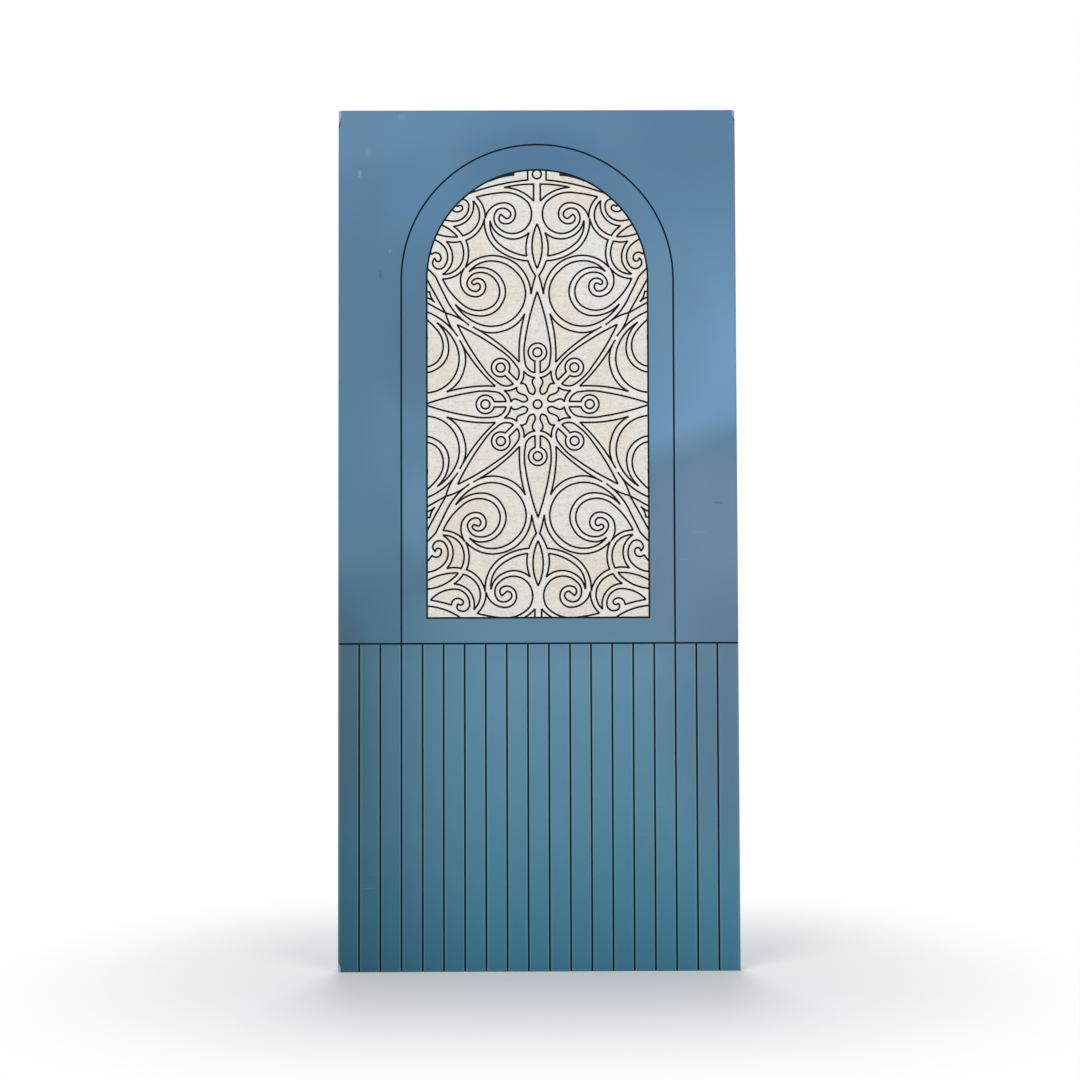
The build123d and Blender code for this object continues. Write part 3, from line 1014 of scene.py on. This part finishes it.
def cut_flats(rings: Sequence[Ring], wanted: Callable[[set[int]], bool], least_area: float) -> list[Flat]:
    """Cut flat pieces out of overlapping rings.

    Args:
        rings: The closed outlines.
        wanted: Says of a set of outlines whether the area inside just those is kept.
        least_area: The smallest piece that is kept.

    Returns:
        The pieces, one for each stretch of area that hangs together.
    """
    points = [Vector((point.real, point.imag)) for ring in rings for point in ring]
    faces, start = [], 0
    for ring in rings:
        numbers = list(range(start, start + len(ring)))
        faces.append(numbers if ring_area(ring) > 0 else numbers[::-1])
        start += len(ring)
    found = delaunay_2d_cdt(points, [], faces, 0, 1e-7)
    kept = [tuple(face) for face, inside in zip(found[2], found[5]) if wanted(set(inside))]
    sides: dict[tuple[int, int], int] = {}
    for number, face in enumerate(kept):
        for k in range(3):
            sides[(face[k], face[(k + 1) % 3])] = number
    flats, seen = [], set()
    for first in range(len(kept)):
        if first in seen:
            continue
        group, queue = [], [first]
        seen.add(first)
        while queue:
            number = queue.pop()
            group.append(kept[number])
            for k in range(3):
                other = sides.get((kept[number][(k + 1) % 3], kept[number][k]))
                if other is not None and other not in seen:
                    seen.add(other)
                    queue.append(other)
        used = sorted({corner for face in group for corner in face})
        new = {old: index for index, old in enumerate(used)}
        triangles = [(new[a], new[b], new[c]) for a, b, c in group]
        flat = Flat([complex(*found[0][corner]) for corner in used], triangles)
        if flat.area() > least_area:
            flats.append(flat)
    return flats


@dataclass
class CutPiece:
    """A mesh of flat pieces cut from a skin, with eased front rims and their own cut edges."""

    name: str
    front: float
    back: float
    ease: float
    longest_ease: float = 2.2
    points: list[Point] = field(default_factory=list)
    faces: list[tuple[int, ...]] = field(default_factory=list)
    edge_faces: list[int] = field(default_factory=list)

    def eased(self, flat: Flat) -> dict[int, complex]:
        """Where the corners of a rim come to lie when the rim is eased.

        Args:
            flat: The flat piece.

        Returns:
            The eased place of each corner on the rim.
        """
        into: dict[int, complex] = {}
        out: dict[int, complex] = {}
        for a, b in flat.rim():
            run = flat.points[b] - flat.points[a]
            out[a] = into[b] = run / abs(run)
        places = {}
        for corner, heading in into.items():
            onward = out[corner]
            inward = 1j * (heading + onward)
            share = max(1 + (heading.conjugate() * onward).real, 1e-3)
            step = inward / share
            if abs(step) > self.longest_ease:
                step *= self.longest_ease / abs(step)
            places[corner] = flat.points[corner] + step * self.ease
        return places

    def add(self, flat: Flat) -> None:
        """Add a closed slab with an eased front rim.

        Args:
            flat: The flat piece that the slab is made of.
        """
        places = self.eased(flat)
        start, count = len(self.points), len(flat.points)
        for corner, point in enumerate(flat.points):
            inside = places.get(corner, point)
            self.points.append((inside.real, self.front, inside.imag))
        self.points += [(point.real, self.back, point.imag) for point in flat.points]
        shoulder = {}
        for corner in places:
            shoulder[corner] = len(self.points)
            point = flat.points[corner]
            self.points.append((point.real, self.front + self.ease, point.imag))
        for a, b, c in flat.triangles:
            self.faces.append((start + a, start + b, start + c))
            self.faces.append((start + count + c, start + count + b, start + count + a))
        for a, b in flat.rim():
            self.edge_faces += [len(self.faces), len(self.faces) + 1]
            self.faces.append((shoulder[a], shoulder[b], start + b, start + a))
            self.faces.append((start + count + a, start + count + b, shoulder[b], shoulder[a]))

    def build(self, face: bpy.types.Material, edge: bpy.types.Material) -> bpy.types.Object:
        """Make the object.

        Args:
            face: The finish of the front and the back.
            edge: The finish of the cut edges.

        Returns:
            The object, in place.
        """
        mesh = bpy.data.meshes.new(self.name)
        mesh.from_pydata(self.points, [], self.faces)
        mesh.materials.append(face)
        mesh.materials.append(edge)
        for number in self.edge_faces:
            mesh.polygons[number].material_index = 1
        mesh.polygons.foreach_set("use_smooth", [True] * len(mesh.polygons))
        mesh.set_sharp_from_angle(angle=radians(32))
        mesh.validate()
        return put(self.name, mesh)


@dataclass
class Inlay:
    """The inlay of the front: a pierced sheet of bands, with a tile set in each opening."""

    ornament: Ornament = field(default_factory=Ornament)
    half_joint: float = LEAF.joint / 2
    ease: float = 0.25 * MILLIMETRE
    least_area: float = 30 * MILLIMETRE**2
    head_turn: float = radians(1.5)
    sheet_finish: PaleLaminate = PaleLaminate(
        "pale laminate bands",
        ground=srgb(233, 230, 225),
        warm=srgb(232, 223, 213),
        cool=srgb(232, 232, 230),
        grain=srgb(208, 202, 193),
    )
    tile_finish: PaleLaminate = PaleLaminate(
        "pale laminate tiles",
        ground=srgb(227, 224, 217),
        warm=srgb(226, 216, 202),
        cool=srgb(225, 228, 226),
        grain=srgb(202, 195, 182),
    )
    char: PlainBoard = PlainBoard("charred cut edge", srgb(20, 16, 13), srgb(42, 32, 25), 0.75)

    def outline(self) -> Ring:
        """Draw the edge of the whole inlay, half a joint inside the border's line.

        Returns:
            The closed ring.
        """
        low, high, half = LEAF.panel_low, LEAF.panel_high, LEAF.panel_half_width
        middle = complex((low.x + high.x) / 2, LEAF.spring_height)
        steps = round(pi / self.head_turn)
        head = [middle + half * exp(1j * pi * step / steps) for step in range(steps + 1)]
        return [complex(low.x, low.z), complex(high.x, low.z)] + head

    def rings(self, tiles: list[tuple[Layout, list[Line]]], distance: float) -> list[Ring]:
        """The rings of all the copies of some tiles.

        Args:
            tiles: The tiles and their layouts.
            distance: How far the rings lie outside the middle of the joints.

        Returns:
            The rings, in place, without those that lie beside the inlay.
        """
        pen, reach = self.ornament.pen, LEAF.inlay_radius
        every = [ring for layout, loop in tiles for ring in layout.copies(pen.moved(loop, distance))]
        inside = [ring for ring in every if min(abs(point.real) for point in ring) < reach]
        return [[point + LEAF.rosette_centre for point in ring] for ring in inside]

    def build(self) -> None:
        """Cut the tiles and the sheet, and put them in the place of their solids."""
        faces = {"tile": self.tile_finish.material(), "sheet": self.sheet_finish.material()}
        edge = self.char.material()
        outline = self.outline()
        openings: list[Ring] = []
        for node, tiles in self.ornament.tiles().items():
            piece = CutPiece(f"{node}_cut", LEAF.front, LEAF.skin_back, self.ease)
            for ring in self.rings(tiles, -self.half_joint):
                for flat in cut_flats([outline, ring], lambda inside: inside == {0, 1}, self.least_area):
                    piece.add(flat)
            openings += self.rings(tiles, self.half_joint)
            self.settle(piece, faces["tile"], edge, node)
        sheet = CutPiece("inlay_sheet_cut", LEAF.front, LEAF.skin_back, self.ease)
        for flat in cut_flats([outline] + openings, lambda inside: inside == {0}, self.least_area):
            sheet.add(flat)
        self.settle(sheet, faces["sheet"], edge, "inlay_sheet")

    def settle(
        self, piece: CutPiece, face: bpy.types.Material, edge: bpy.types.Material, node: str
    ) -> None:
        """Put a cut piece in the place of its solid.

        Args:
            piece: The cut piece.
            face: The finish of its faces.
            edge: The finish of its cut edges.
            node: The node that it stands for.
        """
        made = piece.build(face, edge)
        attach(made, BODY)
        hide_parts(node)
        log.info("%s: %d faces", made.name, len(made.data.polygons))


@dataclass
class Skins:
    """The skins that keep their solids: fields, arch borders and planks, and the back's pale panel."""

    ease: float = 0.4 * MILLIMETRE
    rounding: int = 2
    sharp_angle: float = radians(40)
    weld_distance: float = 0.01 * MILLIMETRE
    flat_angle: float = radians(0.5)
    blue: BlueLaminate = BlueLaminate()
    pale: PaleLaminate = PaleLaminate(
        "pale laminate back",
        ground=srgb(224, 220, 210),
        warm=srgb(222, 211, 194),
        cool=srgb(223, 225, 219),
        grain=srgb(206, 198, 184),
    )

    def blue_nodes(self) -> list[str]:
        """The nodes that are skinned in blue."""
        planks = sorted(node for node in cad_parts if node.startswith("plank_"))
        backs = ["back_upper_field", "back_arch_border", "back_planks"]
        return ["upper_field", "arch_border", *planks, *backs]

    def build(self) -> None:
        """Dress the skins and ease their edges."""
        finishes = dict.fromkeys(self.blue_nodes(), self.blue.material())
        finishes["back_arch_panel"] = self.pale.material()
        for node, material in finishes.items():
            dress(node, material)
            self.ease_edges(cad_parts[node])

    def ease_edges(self, solid: bpy.types.Object) -> None:
        """Make whole faces of a solid's facets, and round its sharp edges slightly.

        Args:
            solid: The node's own solid.
        """
        weld = solid.modifiers.new("joined corners", "WELD")
        weld.merge_threshold = self.weld_distance
        whole = solid.modifiers.new("whole faces", "DECIMATE")
        whole.decimate_type = "DISSOLVE"
        whole.angle_limit = self.flat_angle
        bevel = solid.modifiers.new("eased edge", "BEVEL")
        bevel.width = self.ease
        bevel.segments = self.rounding
        bevel.limit_method = "ANGLE"
        bevel.angle_limit = self.sharp_angle
        bevel.harden_normals = True


@dataclass
class Carcase:
    """The core, the lippings round it and the dark boards that carry the skins."""

    band: PlainBoard = PlainBoard("blue edge band", srgb(84, 118, 140), srgb(96, 130, 152), 0.42)
    backer: BackerBoard = BackerBoard("dark backer", srgb(5, 26, 40), srgb(9, 35, 52), 0.8)
    core: BlockBoard = field(default_factory=BlockBoard)

    def build(self) -> None:
        """Dress the boards and lippings."""
        band, backer = self.band.material(), self.backer.material()
        for edge in ("hinge", "lock", "top", "bottom"):
            dress(f"{edge}_edge_lipping", band)
        for side in ("front", "back"):
            dress(f"{side}_backer", backer)
        dress("core_panel", self.core.material())


def dress(node: str, material: bpy.types.Material) -> None:
    """Give a node's own solid a finish.

    Args:
        node: The node.
        material: The finish.
    """
    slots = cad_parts[node].data.materials
    slots.clear()
    slots.append(material)
    log.info("%s: %s", node, material.name)


def put(name: str, data: bpy.types.ID) -> bpy.types.Object:
    """Put a mesh, a camera or a lamp in the scene, as an object of its own.

    Args:
        name: The object's name.
        data: What it shows or does.

    Returns:
        The object.
    """
    made = bpy.data.objects.new(name, data)
    bpy.context.scene.collection.objects.link(made)
    return made


@dataclass
class Studio:
    """The camera, a pale floor, a white surrounding and soft light."""

    camera_place: Point = (0.465, -3.5047, 0.9166)
    camera_up: float = 0.0292
    camera_left: float = -0.0042
    camera_roll: float = -0.0033
    lens_in_pixels: float = 1466.5
    picture_width: float = 1080.0
    sensor_width: float = 36.0
    floor_size: float = 40.0
    floor_finish: PaleFloor = PaleFloor()
    daylight: float = 0.45
    lamps: tuple[tuple[str, Point, float, float], ...] = (
        ("key lamp", (-2.4, -3.4, 3.2), 2.6, 86.0),
        ("fill lamp", (3.2, -3.0, 2.0), 2.6, 50.0),
        ("back lamp", (0.5, 4.0, 3.0), 3.0, 100.0),
    )

    def camera(self) -> None:
        """Stand the camera in front of the leaf, a little below its middle and tilted up."""
        data = bpy.data.cameras.new("camera")
        data.sensor_width = self.sensor_width
        data.lens = self.sensor_width * self.lens_in_pixels / self.picture_width
        data.clip_end = 100.0
        camera = put("camera", data)
        turn = Matrix.Rotation(self.camera_left, 4, "Z")
        tilt = Matrix.Rotation(pi / 2 + self.camera_up, 4, "X")
        roll = Matrix.Rotation(self.camera_roll, 4, "Z")
        camera.matrix_world = Matrix.Translation(self.camera_place) @ turn @ tilt @ roll
        bpy.context.scene.camera = camera

    def surrounding(self) -> None:
        """Make the world white to the eye, and a soft light to the leaf."""
        world = bpy.data.worlds.new("white surrounding")
        world.use_nodes = True
        graph = Graph(world.node_tree)
        light = graph.out("ShaderNodeBackground", sockets={"Color": WHITE, "Strength": self.daylight})
        shown = graph.out("ShaderNodeBackground", sockets={"Color": WHITE, "Strength": 1.0})
        both = graph.out("ShaderNodeMixShader", sockets={0: graph.seen_directly(), 1: light, 2: shown})
        graph.node("ShaderNodeOutputWorld", sockets={"Surface": both})
        bpy.context.scene.world = world

    def floor(self) -> None:
        """Lay the floor under the leaf."""
        half = self.floor_size / 2
        corners = [(-half, -half, 0), (half, -half, 0), (half, half, 0), (-half, half, 0)]
        mesh = bpy.data.meshes.new("floor")
        mesh.from_pydata(corners, [], [(0, 1, 2, 3)])
        mesh.materials.append(self.floor_finish.material())
        floor = put("floor", mesh)

    def lamp(self, name: str, place: Point, size: float, power: float) -> None:
        """Hang a square soft lamp that faces the middle of the leaf.

        Args:
            name: Its name.
            place: Where it hangs.
            size: The length of its side.
            power: Its power in watts.
        """
        data = bpy.data.lights.new(name, "AREA")
        data.size = size
        data.energy = power
        lamp = put(name, data)
        lamp.location = place
        aim = Vector((LEAF.width / 2, 0, LEAF.height / 2)) - Vector(place)
        lamp.rotation_euler = aim.to_track_quat("-Z", "Y").to_euler()

    def build(self) -> None:
        """Set up the whole studio."""
        bpy.context.scene.view_settings.view_transform = "Standard"
        self.camera()
        self.surrounding()
        self.floor()
        for lamp in self.lamps:
            self.lamp(*lamp)
        log.info("studio ready")


def main() -> None:
    """Build the leaf's looks and the studio round it."""
    logging.basicConfig(level=logging.INFO, format="%(message)s")
    Carcase().build()
    Skins().build()
    Inlay().build()
    Studio().build()


if __name__ == "__main__":
    main()
